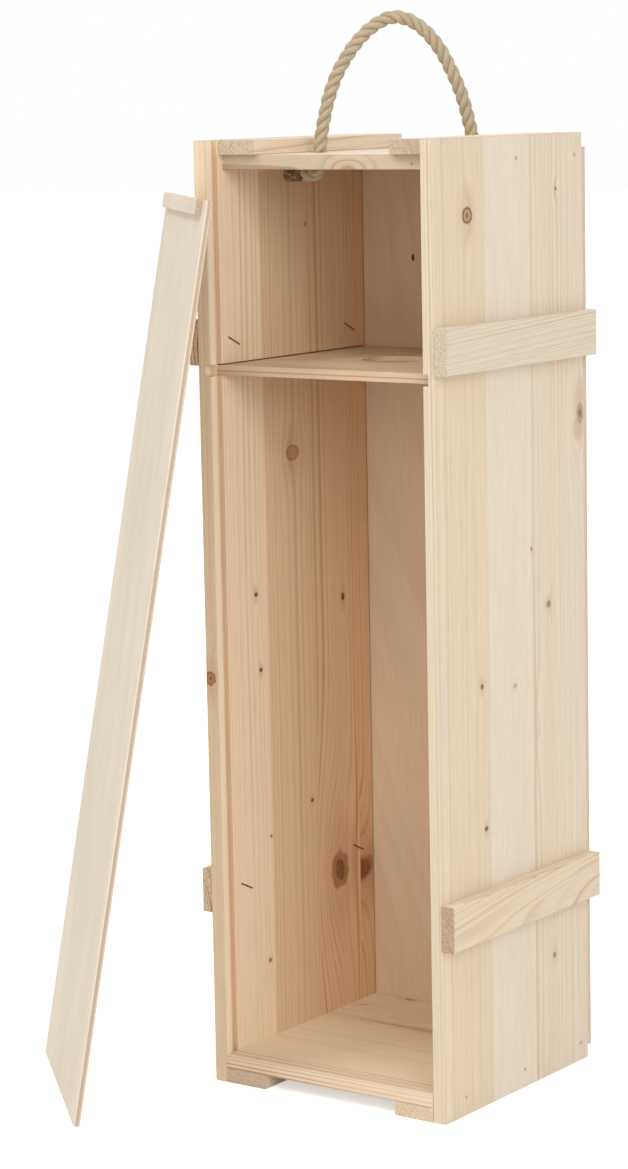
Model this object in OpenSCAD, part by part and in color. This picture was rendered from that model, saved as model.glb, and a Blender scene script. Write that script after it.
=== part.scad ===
// Tall wooden bottle box. It stands upright on two runners, with its open front towards -Y.
// The lid has been drawn out of its grooves and leans on the left front corner.
// +Z is up and +X is to the right of someone who faces the open front.
// The origin is on the floor, under the middle of the side panels.

/* [Box] */
// Height of the two side panels
panel_h = 590; // [520:5:680]
// Depth of the two side panels, front edge to rear edge
panel_d = 167; // [150:1:200]
// Clear width between the side panels
inner_w = 156; // [152:1:190]
// Thickness of the side panels and of the top and bottom boards
board_t = 9; // [8:0.5:12]
// Thickness of the back panel
back_t = 4; // [3:0.5:6]
// Height of the back panel's lower edge above the floor
back_low = 8; // [5:1:30]
// Set-back of the top board behind the panels' front edges
top_setback = 17; // [14:1:24]
// Size of the small chamfer along the long edges of the wood
edge_ease = 0.4; // [0.2:0.1:0.8]

/* [Neck shelf] */
// Height of the shelf's underside above the floor
shelf_z = 447; // [380:1:460]
// Thickness of the shelf
shelf_t = 6; // [4:0.5:8]
// Set-back of the shelf's front edge behind the panels' front edges
shelf_setback = 12; // [10:0.5:20]
// Depth of the housings that carry the shelf's ends
housing_depth = 4; // [2:0.5:5]
// Running gap below and beside the shelf in its housings
shelf_gap = 0.3; // [0.2:0.05:0.6]
// Running gap above the shelf in its housings
shelf_top_gap = 0.8; // [0.2:0.1:1]
// Diameter of the hole for the bottle's neck
neck_hole_d = 45; // [30:1:70]

/* [Lid] */
// Wood in front of the lid groove
groove_lip = 6; // [4:0.5:8]
// Width of the lid groove
groove_w = 5.5; // [5:0.5:7]
// Depth of the lid groove
groove_depth = 3; // [2:0.5:5]
// Thickness of the lid
lid_t = 4; // [3:0.5:4.5]
// Gap between the lid's edge and the bottom of its groove, each side
lid_side_gap = 0.5; // [0.3:0.1:1]
// Distance from the closed lid's top down from the top of the panels
lid_top_gap = 8; // [2:1:20]
// Height of the grip strip on the lid
grip_h = 9.5; // [8:0.5:20]
// Thickness of the grip strip
grip_t = 4; // [3:0.5:5]
// Set-back of the grip strip's ends inside the clear width, each side
grip_inset = 9.5; // [2:0.5:30]
// Angle between the leaning lid and the vertical
lid_lean = 9.75; // [6:0.25:14]
// Turn of the leaning lid from the plane of the open front
lid_turn = 43.85; // [35:0.05:55]
// Distance from the touching point to the lid's near edge
lid_overhang = 74; // [50:1:110]
// Gap between the leaning lid and the corner that it leans on
lid_rest_gap = 0.3; // [0.2:0.1:1]

/* [Battens and runners] */
// Width of the side battens
batten_w = 28; // [20:1:34]
// Width of the top left runner
top_left_runner_w = 27; // [20:1:32]
// Width of the top right runner
top_right_runner_w = 30; // [20:1:32]
// Width of the bottom left runner
bottom_left_runner_w = 30; // [20:1:40]
// Width of the bottom right runner
bottom_right_runner_w = 28; // [20:1:40]
// Thickness of the battens and runners
stick_t = 9; // [8:0.5:12]
// Height of the upper battens' lower edge above the floor
upper_batten_z = 453; // [400:1:480]
// Height of the lower battens' lower edge above the floor
lower_batten_z = 108; // [60:1:200]
// Extra length of the side battens over the panels' depth
batten_extra = 3; // [-6:1:10]
// Set-back of the left battens' front ends
left_batten_setback = 3; // [0:0.5:6]
// Distance that the right battens' front ends stand forward
right_batten_forward = 2; // [0:0.5:6]
// Set-back of the top runners' front ends
top_runner_setback = 13; // [12:0.5:18]
// Distance that the top runners reach past the back panel
top_runner_tail = 2; // [0:0.5:10]

/* [Rope handle] */
// Diameter of the rope
rope_d = 8.5; // [7:0.5:9]
// Diameter of the two rope holes
rope_hole_d = 11; // [11:0.5:13]
// Sideways distance from the top board's centre to each rope hole
rope_hole_x = 36.5; // [34:0.5:40]
// Front-to-back distance from the top board's centre to each rope hole
rope_hole_y = 30; // [26:0.5:34]
// Straight length of rope under the board, from the hole's axis
rope_tail = 13; // [12:0.5:16]
// Diameter of the wrapped rope ends
wrap_d = 9; // [9:0.5:10]
// Length of the wrapped rope ends
wrap_len = 14; // [8:1:18]
// Gap between the wrapped rope ends and the board above them
wrap_gap = 0.3; // [0.2:0.1:1]

/* [Fasteners] */
// Width of a staple's crown
staple_w = 12.8; // [10:0.2:14]
// Width of the flat staple wire
staple_wire_w = 1; // [0.8:0.1:1.4]
// Thickness of the flat staple wire
staple_wire_t = 0.6; // [0.5:0.1:0.8]
// Length of a staple's legs
staple_leg = 14; // [12:1:16]
// Height that a staple's crown stands proud of the wood
staple_proud = 0.3; // [0.2:0.1:0.5]
// Slope of the staple crowns
staple_slope = 25; // [0:5:45]
// Set-back of the front staples behind the panels' front edges
staple_front = 25; // [18:1:40]
// Distance of the rear staples in front of the panels' rear edges
staple_rear = 18; // [12:1:40]
// Diameter of a nail's head
nail_head_d = 2.4; // [2.2:0.1:4]
// Thickness of a nail's head
nail_head_t = 0.8; // [0.5:0.1:1.5]
// Height that a nail's head stands proud of the wood
nail_proud = 0.2; // [0.1:0.1:0.4]
// Diameter of a nail's shank
nail_d = 1.6; // [1.2:0.1:2]
// Length of a nail
nail_len = 28; // [20:1:35]
// Height of the bottom nails above the bottom board's underside
bottom_nail_up = 2.5; // [2:0.5:6]
// Set-back of the foremost nails behind the panels' front edges
nail_front = 23; // [20:1:40]
// Distance of the rearmost nails in front of the panels' rear edges
nail_rear = 9; // [6:1:25]

/* [Hidden] */

pine = [0.87, 0.77, 0.62];
pine_end = [0.80, 0.68, 0.52];
ply = [0.86, 0.76, 0.60];
rope_tan = [0.72, 0.65, 0.50];
dark_tape = [0.20, 0.14, 0.11];
steel = [0.45, 0.42, 0.38];

over = 1;                                        // reach of a cut past the wood it leaves
outer_w = inner_w + 2 * board_t;
front_y = -panel_d / 2;
back_y = panel_d / 2;
floor_top = stick_t + board_t;                   // upper face of the bottom board
lintel_z = panel_h - stick_t - board_t;          // lower face of the top board
top_z = panel_h - stick_t;                       // upper face of the top board
top_y = (front_y + top_setback + back_y) / 2;    // middle of the top board
nail_mid_y = top_y - 1.5;
shelf_front = front_y + shelf_setback;
shelf_back = back_y - shelf_gap;
shelf_w = inner_w + 2 * (housing_depth - shelf_gap);
bottle_y = (shelf_front + back_y) / 2;           // axis of the bottle
lid_w = inner_w + 2 * (groove_depth - lid_side_gap);
lid_h = panel_h - floor_top - lid_top_gap;
grip_w = inner_w - 2 * grip_inset;
batten_len = panel_d + batten_extra;
upper_batten_mid = upper_batten_z + batten_w / 2;
lower_batten_mid = lower_batten_z + batten_w / 2;

// The leaning lid: its width runs along lid_along, its outer face looks along lid_out,
// its length rises along lid_up. The top of its inner face rests on the eased left front corner.
lid_along = [-cos(lid_turn), sin(lid_turn), 0];
lid_out = [-sin(lid_turn), -cos(lid_turn), 0];
lid_up = [0, 0, cos(lid_lean)] - sin(lid_lean) * lid_out;
lid_touch = [-outer_w / 2, front_y, lid_h * cos(lid_lean)]
    + (lid_rest_gap - edge_ease * min(sin(lid_turn), cos(lid_turn))) * lid_out;
lid_foot = lid_touch - lid_h * lid_up - lid_overhang * lid_along;

// The rope's route. The arch lies in the upright plane through both holes: distance from the
// board's centre, then height above the board. Its ends turn outwards under the board.
rope_arch = [
    [-47, 4], [-46, 12], [-44, 22], [-41, 34], [-37, 45], [-31, 56], [-23, 67], [-13, 76], [-2, 81],
    [9, 79], [19, 72], [27, 62], [33, 51], [38, 40], [42, 28], [45, 16], [47, 6]];
rope_bend = rope_d / 2 + 2;
rope_sides = 12;
rope_reach = norm([rope_hole_x, rope_hole_y]);
rope_dir = [rope_hole_x, rope_hole_y, 0] / rope_reach;
rope_side = [-rope_dir[1], rope_dir[0], 0];
rope_low = lintel_z - wrap_gap - wrap_d / 2;     // axis of the ends under the board
rope_mid = [0, top_y, 0];

function rope_hole(side) = rope_mid + side * [rope_hole_x, rope_hole_y, 0];
function rope_end(side) = concat(
    [rope_hole(side) + [side * rope_tail, 0, rope_low]],
    [for (a = [0:22.5:90])
        rope_hole(side) + [side * rope_bend * (1 - sin(a)), 0, rope_low + rope_bend * (1 - cos(a))]],
    [rope_hole(side) + [0, 0, top_z]]);
rope_route = concat(
    rope_end(-1),
    [for (p = rope_arch) rope_mid + p[0] * rope_dir + [0, 0, top_z + p[1]]],
    [for (i = [len(rope_end(1)) - 1:-1:0]) rope_end(1)[i]]);

function unit(v) = v / norm(v);
function tangent(path, i) = unit(path[min(i + 1, len(path) - 1)] - path[max(i - 1, 0)]);
function ring(path, i, r, sides) = let (
    t = tangent(path, i), e = unit(cross(t, rope_side)), f = cross(e, t))
    [for (k = [0:sides - 1]) path[i] + r * (cos(360 * k / sides) * f + sin(360 * k / sides) * e)];

// Tube of a round section along a route of points, closed by a flat face at each end
module tube(path, d, sides) {
    n = len(path);
    points = [for (i = [0:n - 1]) for (p = ring(path, i, d / 2, sides)) p];
    walls = [for (i = [0:n - 2]) for (k = [0:sides - 1]) let (
        a = i * sides + k, b = i * sides + (k + 1) % sides)
        each [[a, a + sides, b], [b, a + sides, b + sides]]];
    ends = [
        [for (k = [0:sides - 1]) k],
        [for (k = [sides - 1:-1:0]) (n - 1) * sides + k]];
    polyhedron(points = points, faces = concat(walls, ends), convexity = 4);
}

// Box whose four edges along one axis (0 = X, 1 = Y, 2 = Z) are eased
module eased(size, axis) {
    a = size[(axis + 1) % 3];
    b = size[(axis + 2) % 3];
    e = edge_ease;
    rotate([[90, 0, 90], [-90, -90, 0], [0, 0, 0]][axis]) linear_extrude(size[axis])
        polygon([[e, 0], [a - e, 0], [a, e], [a, b - e], [a - e, b], [e, b], [0, b - e], [0, e]]);
}

// Board that fills the clear width between the side panels
module cross_board(low_z, set_back) {
    translate([-inner_w / 2, front_y + set_back, low_z])
        eased([inner_w, panel_d - set_back, board_t], 0);
}

// Side panel on the left (-1) or right (1), with the lid groove and the shelf's housing
module side_panel(side) {
    inside = inner_w / 2;
    mirror([side < 0 ? 1 : 0, 0, 0]) difference() {
        translate([inside, front_y, 0]) eased([board_t, panel_d, panel_h], 2);
        translate([inside - over, front_y + groove_lip, -over])
            cube([groove_depth + over, groove_w, panel_h + 2 * over]);
        translate([inside - over, front_y - over, shelf_z - shelf_gap])
            cube([housing_depth + over, panel_d + 2 * over, shelf_t + shelf_gap + shelf_top_gap]);
    }
}

// Batten across the outside of a side panel
module side_batten(side, low_z, set_back) {
    mirror([side < 0 ? 1 : 0, 0, 0])
        translate([outer_w / 2, front_y + set_back, low_z]) eased([stick_t, batten_len, batten_w], 1);
}

// Runner from front to back beside a panel, above the top board or below the bottom board
module runner(side, width, low_z, set_back, back_reach) {
    mirror([side < 0 ? 1 : 0, 0, 0])
        translate([inner_w / 2 - width, front_y + set_back, low_z])
            eased([width, panel_d - set_back + back_reach, stick_t], 1);
}

// Staple driven outwards through a side panel into the batten behind it
module staple(side, y, z) {
    mirror([side < 0 ? 1 : 0, 0, 0]) translate([inner_w / 2 - staple_proud, y, z])
        rotate([-staple_slope, 0, 0]) {
            translate([0, -staple_w / 2, -staple_wire_w / 2])
                cube([staple_wire_t, staple_w, staple_wire_w]);
            for (end = [0, 1])
                translate([0, end ? staple_w / 2 - staple_wire_t : -staple_w / 2, -staple_wire_w / 2])
                    cube([staple_leg, staple_wire_t, staple_wire_w]);
        }
}

// Nail driven inwards through a side panel into a board's end
module nail(side, y, z) {
    translate([side * (outer_w / 2 + nail_proud), y, z]) rotate([0, -side * 90, 0]) {
        cylinder(h = nail_head_t, d = nail_head_d, $fn = 24);
        cylinder(h = nail_len, d = nail_d, $fn = 16);
    }
}

module left_side_panel() { color(pine) side_panel(-1); }
module right_side_panel() { color(pine) side_panel(1); }

module top_board() {
    color(pine) difference() {
        cross_board(lintel_z, top_setback);
        for (side = [-1, 1]) translate(rope_hole(side) + [0, 0, lintel_z - over])
            cylinder(h = board_t + 2 * over, d = rope_hole_d, $fn = 48);
    }
}

module bottom_board() { color(pine) cross_board(stick_t, 0); }

module back_panel() {
    color(ply) translate([-outer_w / 2, back_y, back_low])
        eased([outer_w, back_t, top_z - back_low], 2);
}

module upper_left_batten() { color(pine_end) side_batten(-1, upper_batten_z, left_batten_setback); }
module upper_right_batten() { color(pine_end) side_batten(1, upper_batten_z, -right_batten_forward); }
module lower_left_batten() { color(pine_end) side_batten(-1, lower_batten_z, left_batten_setback); }
module lower_right_batten() { color(pine_end) side_batten(1, lower_batten_z, -right_batten_forward); }

module top_left_runner() {
    color(pine_end)
        runner(-1, top_left_runner_w, top_z, top_runner_setback, back_t + top_runner_tail);
}
module top_right_runner() {
    color(pine_end)
        runner(1, top_right_runner_w, top_z, top_runner_setback, back_t + top_runner_tail);
}
module bottom_left_runner() { color(pine_end) runner(-1, bottom_left_runner_w, 0, 0, 0); }
module bottom_right_runner() { color(pine_end) runner(1, bottom_right_runner_w, 0, 0, 0); }

module neck_shelf() {
    color(ply) difference() {
        translate([-shelf_w / 2, shelf_front, shelf_z])
            cube([shelf_w, shelf_back - shelf_front, shelf_t]);
        translate([0, bottle_y, shelf_z - over])
            cylinder(h = shelf_t + 2 * over, d = neck_hole_d, $fn = 96);
    }
}

// Puts what is drawn with its inner face on y = 0 and its foot on z = 0 where the lid leans
module leaning() {
    translate(lid_foot) rotate([lid_lean, 0, 180 - lid_turn]) children();
}

module lid_panel() { color(ply) leaning() eased([lid_w, lid_t, lid_h], 2); }

module lid_grip() {
    color(pine) leaning() translate([(lid_w - grip_w) / 2, lid_t, lid_h - grip_h])
        eased([grip_w, grip_t, grip_h], 0);
}

module rope_handle() { color(rope_tan) tube(rope_route, rope_d, rope_sides); }

module rope_end_wraps() {
    color(dark_tape) for (side = [-1, 1])
        translate(rope_hole(side) + [side * rope_tail, 0, rope_low]) rotate([0, side * 90, 0])
            cylinder(h = wrap_len, d = wrap_d, $fn = 48);
}

module batten_staples() {
    color(steel) for (side = [-1, 1]) for (z = [upper_batten_mid, lower_batten_mid])
        for (y = [front_y + staple_front, back_y - staple_rear]) staple(side, y, z);
}

module board_nails() {
    color(steel) for (side = [-1, 1]) {
        for (y = [nail_mid_y, back_y - nail_rear]) nail(side, y, top_z - board_t / 2);
        for (y = [front_y + nail_front, nail_mid_y, back_y - nail_rear])
            nail(side, y, stick_t + bottom_nail_up);
    }
}

left_side_panel();
right_side_panel();
top_board();
bottom_board();
back_panel();
upper_left_batten();
upper_right_batten();
lower_left_batten();
lower_right_batten();
top_left_runner();
top_right_runner();
bottom_left_runner();
bottom_right_runner();
neck_shelf();
lid_panel();
lid_grip();
rope_handle();
rope_end_wraps();
batten_staples();
board_nails();
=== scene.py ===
"""Dresses the tall wooden bottle box: rope, timber, plywood, fasteners, light and camera.

Lengths are in metres, in the frame of the CAD model: the origin is on the floor under the
middle of the side panels, the open front looks along -Y and +Z is up.
"""
import math

import bpy
import numpy as np
from mathutils import Matrix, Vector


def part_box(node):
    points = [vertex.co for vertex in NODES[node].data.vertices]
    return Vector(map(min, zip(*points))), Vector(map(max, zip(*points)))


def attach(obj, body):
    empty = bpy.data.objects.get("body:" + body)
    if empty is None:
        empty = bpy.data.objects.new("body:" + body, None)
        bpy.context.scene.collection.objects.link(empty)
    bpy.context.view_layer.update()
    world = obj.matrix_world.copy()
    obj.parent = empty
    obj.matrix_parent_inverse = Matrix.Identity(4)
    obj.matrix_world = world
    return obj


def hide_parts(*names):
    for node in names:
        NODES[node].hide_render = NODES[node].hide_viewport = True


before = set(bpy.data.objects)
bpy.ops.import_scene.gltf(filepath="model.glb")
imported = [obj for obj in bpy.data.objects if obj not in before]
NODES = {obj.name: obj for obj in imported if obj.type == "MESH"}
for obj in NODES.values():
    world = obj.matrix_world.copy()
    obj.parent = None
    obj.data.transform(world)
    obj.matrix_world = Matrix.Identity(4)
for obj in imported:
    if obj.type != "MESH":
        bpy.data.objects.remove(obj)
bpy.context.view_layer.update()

# -------- sizes repeated from the part
MM = 0.001
PANEL_D = 167 * MM
FRONT_Y = -PANEL_D / 2
HALF_W = 87 * MM                    # half the width over the side panels
TOP_Z = 581 * MM                    # upper face of the top board
TOP_Y = 8.5 * MM                    # middle of the top board
ROPE_D = 8.5 * MM
ROPE_HOLE = (36.5 * MM, 30 * MM)    # from the top board's middle
ROPE_LOW = 567.2 * MM               # axis of the rope's ends under the board
ROPE_BEND = 6.25 * MM               # radius of the bend under each hole
ROPE_TAIL = 13 * MM
WRAP_D = 9 * MM
WRAP_LEN = 14 * MM
LID_LEAN = math.radians(9.75)
LID_TURN = math.radians(43.85)
LID_H = 564 * MM
LID_TOUCH = 74 * MM                 # from the lid's near edge to where the panel's corner is
LID_GAP = 0.3 * MM                  # between the lid and that corner
EDGE_EASE = 0.4 * MM                # taken off the panels' edges


# -------- camera
IMAGE_H = 1169                      # pixels
SENSOR = 36                         # millimetres
FOCAL_PX = 3305.3
CAMERA_AT = (1.14818, -1.68789, 0.62576)
CAMERA_RIGHT = (0.81405, 0.58046, -0.01950)
CAMERA_DOWN = (0.07211, -0.13433, -0.98831)
CAMERA_AHEAD = (-0.57630, 0.80313, -0.15121)


def place_item(item, right, up, back, place):
    """Links a camera or a lamp and gives it its axes and its place."""
    bpy.context.scene.collection.objects.link(item)
    axes = np.eye(4)
    axes[:3, 0], axes[:3, 1], axes[:3, 2], axes[:3, 3] = right, up, back, place
    item.matrix_world = Matrix(axes.tolist())


def make_camera():
    """Camera at the photograph's place."""
    data = bpy.data.cameras.new("camera")
    data.sensor_width = SENSOR
    data.lens = FOCAL_PX * SENSOR / IMAGE_H
    camera = bpy.data.objects.new("camera", data)
    place_item(camera, CAMERA_RIGHT, -np.array(CAMERA_DOWN), -np.array(CAMERA_AHEAD), CAMERA_AT)
    bpy.context.scene.camera = camera


# -------- meshes
SPAN_POINTS = 24                    # points per span of a curve before it is resampled


def mesh_object(name, points, faces, uv=None, body="box"):
    """Smooth mesh object from arrays of points and of faces, riding on a body."""
    mesh = bpy.data.meshes.new(name)
    mesh.from_pydata(np.asarray(points).reshape(-1, 3).tolist(), [], [list(f) for f in faces])
    mesh.polygons.foreach_set("use_smooth", [True] * len(mesh.polygons))
    if uv is not None:
        layer = mesh.uv_layers.new(name="along")
        corner = np.empty(len(mesh.loops), np.int32)
        mesh.loops.foreach_get("vertex_index", corner)
        layer.data.foreach_set("uv", np.asarray(uv, np.float32)[corner].ravel())
    mesh.update()
    piece = bpy.data.objects.new(name, mesh)
    bpy.context.scene.collection.objects.link(piece)
    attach(piece, body)
    return piece


def tube_faces(rows, sides, first=0):
    """Faces of a closed tube of rings: quads (i, k), (i, k+1), (i+1, k+1), (i+1, k), then the
    first ring and the last one as its ends."""
    i, k = np.meshgrid(np.arange(rows - 1), np.arange(sides), indexing="ij")
    k1 = (k + 1) % sides
    quads = np.stack([i * sides + k, i * sides + k1, (i + 1) * sides + k1,
                      (i + 1) * sides + k], -1).reshape(-1, 4)
    ring = [first + n for n in range(sides)]
    return (quads + first).tolist() + [ring[::-1], [(rows - 1) * sides + n for n in ring]]


def smooth_path(points, step):
    """Curve through the points, resampled at equal steps along its length. Each span is the cubic
    whose slope at its ends is half the way from the point before to the point after."""
    p = np.asarray(points, float)
    p = np.vstack([2 * p[0] - p[1], p, 2 * p[-1] - p[-2]])
    t = np.linspace(0, 1, SPAN_POINTS, endpoint=False)[:, None]
    pieces = [0.5 * (2 * b + (c - a) * t + (2 * a - 5 * b + 4 * c - d) * t ** 2
                     + (3 * b - a - 3 * c + d) * t ** 3)
              for a, b, c, d in zip(p[:-3], p[1:-2], p[2:-1], p[3:])]
    curve = np.vstack(pieces + [p[-2][None]])
    run = np.r_[0, np.cumsum(np.linalg.norm(np.diff(curve, axis=0), axis=1))]
    count = max(2, int(round(run[-1] / step)) + 1)
    at = np.linspace(0, run[-1], count)
    return np.stack([np.interp(at, run, curve[:, i]) for i in range(3)], -1), at


def carried_frame(path, first):
    """Tangent and two normals at each point of a path, carried along without twisting."""
    t = np.gradient(path, axis=0)
    t /= np.linalg.norm(t, axis=1)[:, None]
    u = np.empty_like(path)
    v = np.asarray(first, float)
    for i, tangent in enumerate(t):
        v = v - tangent * np.dot(v, tangent)
        v /= np.linalg.norm(v)
        u[i] = v
    return t, u, np.cross(t, u)


# -------- rope
ROPE_ARCH = [                       # millimetres from the arch's middle, and above the board
    (-47, 4), (-46, 12), (-44, 22), (-41, 34), (-37, 45), (-31, 56), (-23, 67), (-13, 76), (-2, 81),
    (9, 79), (19, 72), (27, 62), (33, 51), (38, 40), (42, 28), (45, 16), (47, 6)]
ROPE_STEP = 0.55 * MM
ROPE_TURN = 0.6                     # radians, where the first strand starts round the axis
ROPE_PITCH = 21 * MM
STRAND_R = 2.02 * MM
STRAND_OFFSET = 2.23 * MM
STRAND_SIDES = 40
YARNS = 9
YARN_PITCH = 9 * MM
HAIRS = 520
HAIR_SEED = 5
HAIR_R = 0.045 * MM
HAIR_LENGTH = (0.8 * MM, 2.6 * MM)
HAIR_ROOT = 0.455 * ROPE_D          # from the rope's axis
HAIR_ROWS = 5
HAIR_SIDES = 3
WRAP_SIDES = 40
WRAP_ROWS = 64
TWINE_PITCH = 1.15 * MM


def rope_route():
    """The route of the part's rope: left tail, left hole, arch, right hole, right tail."""
    hole_x, hole_y = ROPE_HOLE
    reach = math.hypot(hole_x, hole_y)
    along = np.array([hole_x, hole_y, 0]) / reach
    middle = np.array([0, TOP_Y, 0])

    def end(side):
        """The tail and the bend under one hole, from the tip up, and the hole's upper edge."""
        hole = middle + side * np.array([hole_x, hole_y, 0])
        turn = np.radians(np.arange(0, 91, 15))
        bend = [hole + [side * ROPE_BEND * (1 - math.sin(a)), 0,
                        ROPE_LOW + ROPE_BEND * (1 - math.cos(a))] for a in turn]
        return [hole + [side * ROPE_TAIL, 0, ROPE_LOW]] + bend, [hole + [0, 0, TOP_Z]]

    left_tail, left_up = end(-1)
    right_tail, right_up = end(1)
    arch = [middle + s * MM * along + [0, 0, TOP_Z + h * MM] for s, h in ROPE_ARCH]
    return left_tail, left_up + arch + right_up, right_tail[::-1]


def strands(path, at):
    """Points and UVs of three strands along a path. Strand k is a tube round the point
    centre + offset * (cos a * u + sin a * v), with a = turn + 2 pi (k / 3 + s / pitch). Its radius
    is r * slack * (0.983 + 0.018 |cos(yarns * (w - b) / 2)|): slack drifts by up to 3.5 per cent
    along the rope, and the rest swells with each yarn, where b turns the other way round."""
    t, u, v = carried_frame(path, (0, 0, 1))
    w = np.linspace(0, 2 * np.pi, STRAND_SIDES, endpoint=False)
    points, uv = [], []
    for k in range(3):
        a = ROPE_TURN + 2 * np.pi * (k / 3 + at / ROPE_PITCH)
        slack = 1 + 0.02 * np.sin(at / 0.013 + 2.1 * k) + 0.015 * np.sin(at / 0.0047 + k)
        out = np.cos(a)[:, None] * u + np.sin(a)[:, None] * v
        centre = path + STRAND_OFFSET * out
        _, e, f = carried_frame(centre, out[0])
        b = -2 * np.pi * at / YARN_PITCH
        r = STRAND_R * slack[:, None] * (
            0.983 + 0.018 * np.abs(np.cos(YARNS * (w[None] - b[:, None]) / 2)))
        ring = (centre[:, None] + r[..., None] * (
            np.cos(w)[None, :, None] * e[:, None] + np.sin(w)[None, :, None] * f[:, None]))
        points.append(ring.reshape(-1, 3))
        s, q = np.meshgrid(at, w / (2 * np.pi), indexing="ij")
        uv.append(np.stack([s, q + 0.37 * k], -1).reshape(-1, 2))
    return np.concatenate(points), np.concatenate(uv)


def fuzz(path):
    """Loose fibres on the rope: thin three-sided hairs that leave the surface at a slant and curl,
    p(q) = start + length * (q * slant + curl * q ^ 2 * sideways), with q from 0 to 1."""
    rng = np.random.default_rng(HAIR_SEED)
    t, u, v = carried_frame(path, (1, 0, 0))
    i = rng.integers(2, len(path) - 2, HAIRS)
    a = rng.uniform(0, 2 * np.pi, HAIRS)
    out = np.cos(a)[:, None] * u[i] + np.sin(a)[:, None] * v[i]
    side = np.cross(t[i], out)
    start = path[i] + out * HAIR_ROOT
    slant = (out * rng.uniform(0.15, 0.8, HAIRS)[:, None]
             + t[i] * rng.uniform(-1, 1, HAIRS)[:, None]
             + side * rng.uniform(-0.8, 0.8, HAIRS)[:, None])
    slant /= np.linalg.norm(slant, axis=1)[:, None]
    length = rng.uniform(*HAIR_LENGTH, HAIRS)
    curl = rng.uniform(-0.5, 0.5, HAIRS)
    q = np.linspace(0, 1, HAIR_ROWS)
    bow = (curl[:, None] * q[None] ** 2)[..., None] * side[:, None]
    line = start[:, None] + length[:, None, None] * (q[None, :, None] * slant[:, None] + bow)
    radius = HAIR_R * (1 - 0.7 * q)
    n1 = np.cross(slant, side)
    n1 /= np.linalg.norm(n1, axis=1)[:, None] + 1e-9
    n2 = np.cross(slant, n1)
    w = np.radians([0, 120, 240])[:, None]
    spokes = np.cos(w) * n1[:, None, None] + np.sin(w) * n2[:, None, None]
    ring = line[:, :, None] + radius[None, :, None, None] * spokes
    faces = []
    for hair in range(HAIRS):
        faces += tube_faces(HAIR_ROWS, HAIR_SIDES, HAIR_ROWS * HAIR_SIDES * hair)
    return ring.reshape(-1, 3), faces


def wrap_mesh(side):
    """Wrapped end of the rope: a tube along X whose radius steps with each turn of the twine,
    r = R * (0.86 + 0.06 |sin(pi x / pitch)|), dented here and there and rounded off at its end."""
    s = np.linspace(0, 1, WRAP_ROWS)
    r = WRAP_D / 2 * (0.86 + 0.06 * np.abs(np.sin(np.pi * s * WRAP_LEN / TWINE_PITCH)))
    r *= np.minimum(1, np.sqrt(np.clip(1 - ((s - 0.86) / 0.145).clip(0) ** 2, 0.02, 1)))
    w = np.linspace(0, 2 * np.pi, WRAP_SIDES, endpoint=False)
    hole = np.array([side * ROPE_HOLE[0], TOP_Y + side * ROPE_HOLE[1], ROPE_LOW])
    x = hole[0] + side * (ROPE_TAIL + s * WRAP_LEN)
    lift = 0.35 * MM * np.sin(w[None] * 3 + s[:, None] * 4) * np.sin(w[None] + s[:, None] * 9)
    ring = np.stack(np.broadcast_arrays(
        x[:, None], hole[1] + (r[:, None] + lift * 0.5) * np.cos(w) * side,
        hole[2] + (r[:, None] - np.abs(lift) * 0.5) * np.sin(w)), -1)
    return ring.reshape(-1, 3), tube_faces(WRAP_ROWS, WRAP_SIDES)


def make_rope():
    """Rope handle with its two tails and wrapped ends."""
    left_tail, arch, right_tail = rope_route()
    whole, at = smooth_path(left_tail + arch + right_tail, ROPE_STEP)
    near = [int(np.argmin(np.linalg.norm(whole - np.array(p), axis=1)))
            for p in (left_tail[-1], right_tail[0])]
    points, uv = strands(whole, at)
    rope_mat = rope_material()
    rows, sides = len(whole), STRAND_SIDES
    for name, lo, hi in (("rope_tail_left", 0, near[0]), ("rope_arch", near[0], near[1]),
                         ("rope_tail_right", near[1], rows - 1)):
        count = hi - lo + 1
        kept = [slice((k * rows + lo) * sides, (k * rows + lo + count) * sides) for k in range(3)]
        faces = sum((tube_faces(count, sides, k * count * sides) for k in range(3)), [])
        piece = mesh_object(name, np.concatenate([points[k] for k in kept]), faces,
                            uv=np.concatenate([uv[k] for k in kept]))
        piece.data.materials.append(rope_mat)
        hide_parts("rope_handle")
    hairs = mesh_object("rope_fuzz", *fuzz(whole[near[0]:near[1]]))
    hairs.data.materials.append(rope_mat)
    for side, name in ((-1, "rope_wrap_left"), (1, "rope_wrap_right")):
        wrap = mesh_object(name, *wrap_mesh(side))
        wrap.data.materials.append(twine_material())
        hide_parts("rope_end_wraps")


# -------- shader helpers
def feed(tree, node, inputs):
    """Sets each input of a node to a value or to the socket that feeds it."""
    for name, value in inputs.items():
        if isinstance(value, bpy.types.NodeSocket):
            tree.links.new(value, node.inputs[name])
        else:
            node.inputs[name].default_value = value
    return node


def add(tree, kind, inputs=None, **settings):
    """Adds a node with its settings and inputs."""
    node = tree.nodes.new(kind)
    for name, value in settings.items():
        setattr(node, name, value)
    return feed(tree, node, inputs or {})


def calc(tree, operation, *values, clamp=False):
    """Math node of up to three values."""
    return add(tree, "ShaderNodeMath", dict(enumerate(values)), operation=operation,
               use_clamp=clamp).outputs[0]


def mul(tree, a, b):
    """Product of two values."""
    return calc(tree, "MULTIPLY", a, b)


def plus(tree, a, b):
    """Sum of two values."""
    return calc(tree, "ADD", a, b)


def minus(tree, a, b):
    """Difference of two values."""
    return calc(tree, "SUBTRACT", a, b)


def vec(tree, operation, *values):
    """Vector Math node; a float goes to Scale."""
    inputs = {}
    for i, value in enumerate(values):
        inputs["Scale" if operation == "SCALE" and i == 1 else i] = value
    node = add(tree, "ShaderNodeVectorMath", inputs, operation=operation)
    return node.outputs["Value" if operation in ("LENGTH", "DOT_PRODUCT") else "Vector"]


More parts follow.
